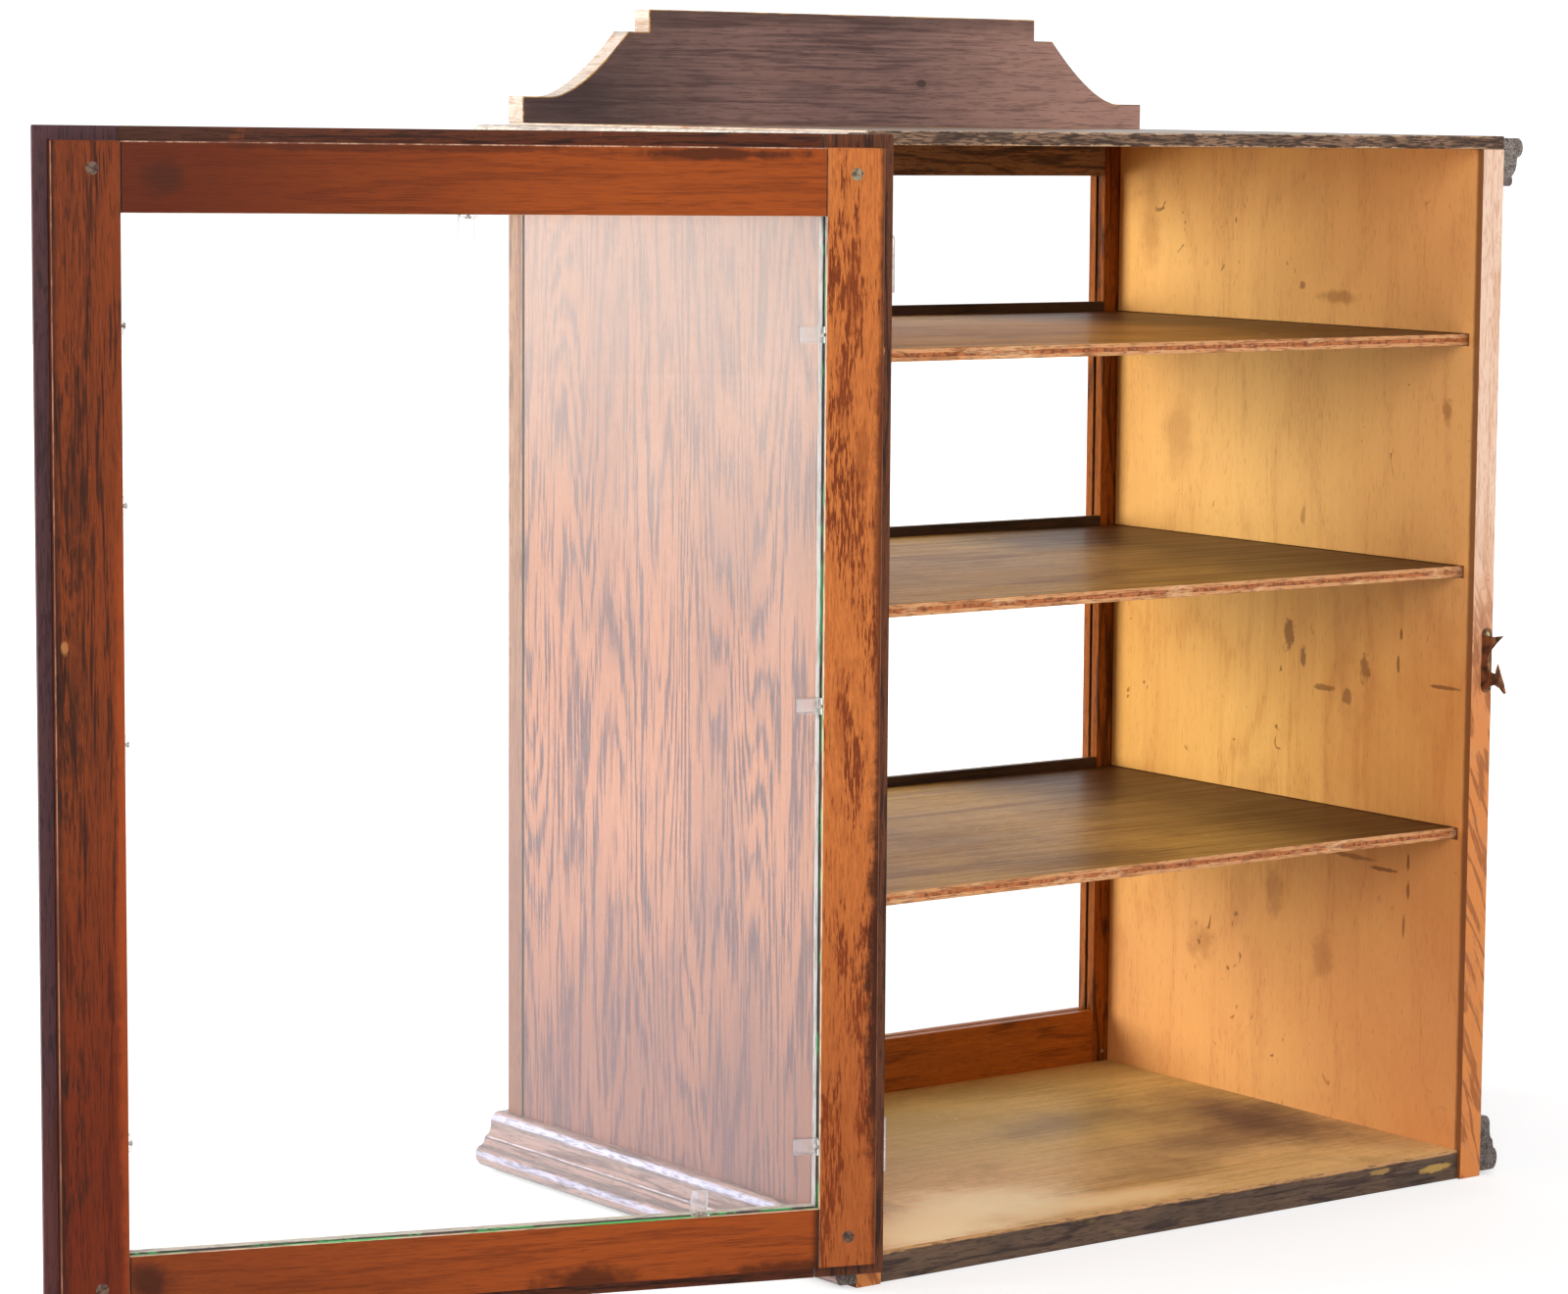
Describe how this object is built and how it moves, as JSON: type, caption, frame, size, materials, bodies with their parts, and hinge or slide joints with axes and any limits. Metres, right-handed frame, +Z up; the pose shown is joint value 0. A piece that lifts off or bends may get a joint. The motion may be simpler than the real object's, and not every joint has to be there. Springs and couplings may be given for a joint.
{
  "type": "countertop display cabinet",
  "caption": "Oak countertop display cabinet with a glazed show side, fixed shelves, a scrolled crest, stepped mouldings and a hinged glazed door with a turn latch.",
  "frame": {"origin": "centre of the case's footprint (side panels and window frame, mouldings and door left out), on the underside of its boards", "axes": "+Z up, +X to the right of a person who faces the door side, +Y from the door side towards the glazed show side"},
  "size_m": [1.2287, 0.532, 0.943],
  "materials": {
    "panel_oak": "satin",
    "frame_oak": "satin",
    "door_oak": "satin",
    "board_wood": "satin",
    "top_wood": "worn",
    "shelf_ply": "satin",
    "crest_wood": "worn",
    "moulding_oak": "satin",
    "dowel_wood": "raw",
    "pane_glass": "clear",
    "clip_plastic": "clear",
    "hinge_steel": "nickel plated",
    "screw_steel": "aged",
    "nail_steel": "aged",
    "bronze": "dark patina"
  },
  "bodies": {
    "case": {"side_panel_left": "panel_oak", "side_panel_right": "panel_oak", "top_board": "top_wood", "bottom_board": "board_wood", "shelf_upper": "shelf_ply", "shelf_middle": "shelf_ply", "shelf_lower": "shelf_ply", "ledge_upper": "frame_oak", "ledge_middle": "frame_oak", "ledge_lower": "frame_oak", "window_stile_left": "frame_oak", "window_stile_right": "frame_oak", "window_top_rail": "frame_oak", "window_bottom_rail": "frame_oak", "window_glass": "pane_glass", "crest_board": "crest_wood", "crest_dowels": "dowel_wood", "crown_left": "moulding_oak", "crown_right": "moulding_oak", "crown_window": "moulding_oak", "base_left": "moulding_oak", "base_right": "moulding_oak", "base_window": "moulding_oak", "case_nails": "nail_steel", "window_nails": "nail_steel", "keeper": "bronze", "keeper_screws": "bronze", "upper_hinge_case_leaf": "hinge_steel", "lower_hinge_case_leaf": "hinge_steel", "upper_hinge_pin": "hinge_steel", "lower_hinge_pin": "hinge_steel", "case_hinge_screws": "screw_steel"},
    "door": {"door_hinge_stile": "door_oak", "door_latch_stile": "door_oak", "door_top_rail": "door_oak", "door_bottom_rail": "door_oak", "door_glass": "pane_glass", "glass_clips": "clip_plastic", "clip_screws": "screw_steel", "door_corner_screws": "screw_steel", "upper_hinge_door_leaf": "hinge_steel", "lower_hinge_door_leaf": "hinge_steel", "door_hinge_screws": "screw_steel", "latch_plate": "bronze", "latch_screws": "bronze"},
    "latch": {"latch_spindle": "bronze", "latch_tongue": "bronze", "latch_knob": "bronze"}
  },
  "joints": [
    {"name": "door_hinge", "type": "hinge", "parent": "case", "child": "door", "pos_m": [-0.3067, -0.2521, 0.4325], "axis": [0, 0, -1], "range_deg": [-199, 5]},
    {"name": "latch_turn", "type": "hinge", "parent": "door", "child": "latch", "pos_m": [-0.86153, -0.06444, 0.424], "axis": [-0.3256, -0.9455, 0], "range_deg": [0, 90]}
  ]
}
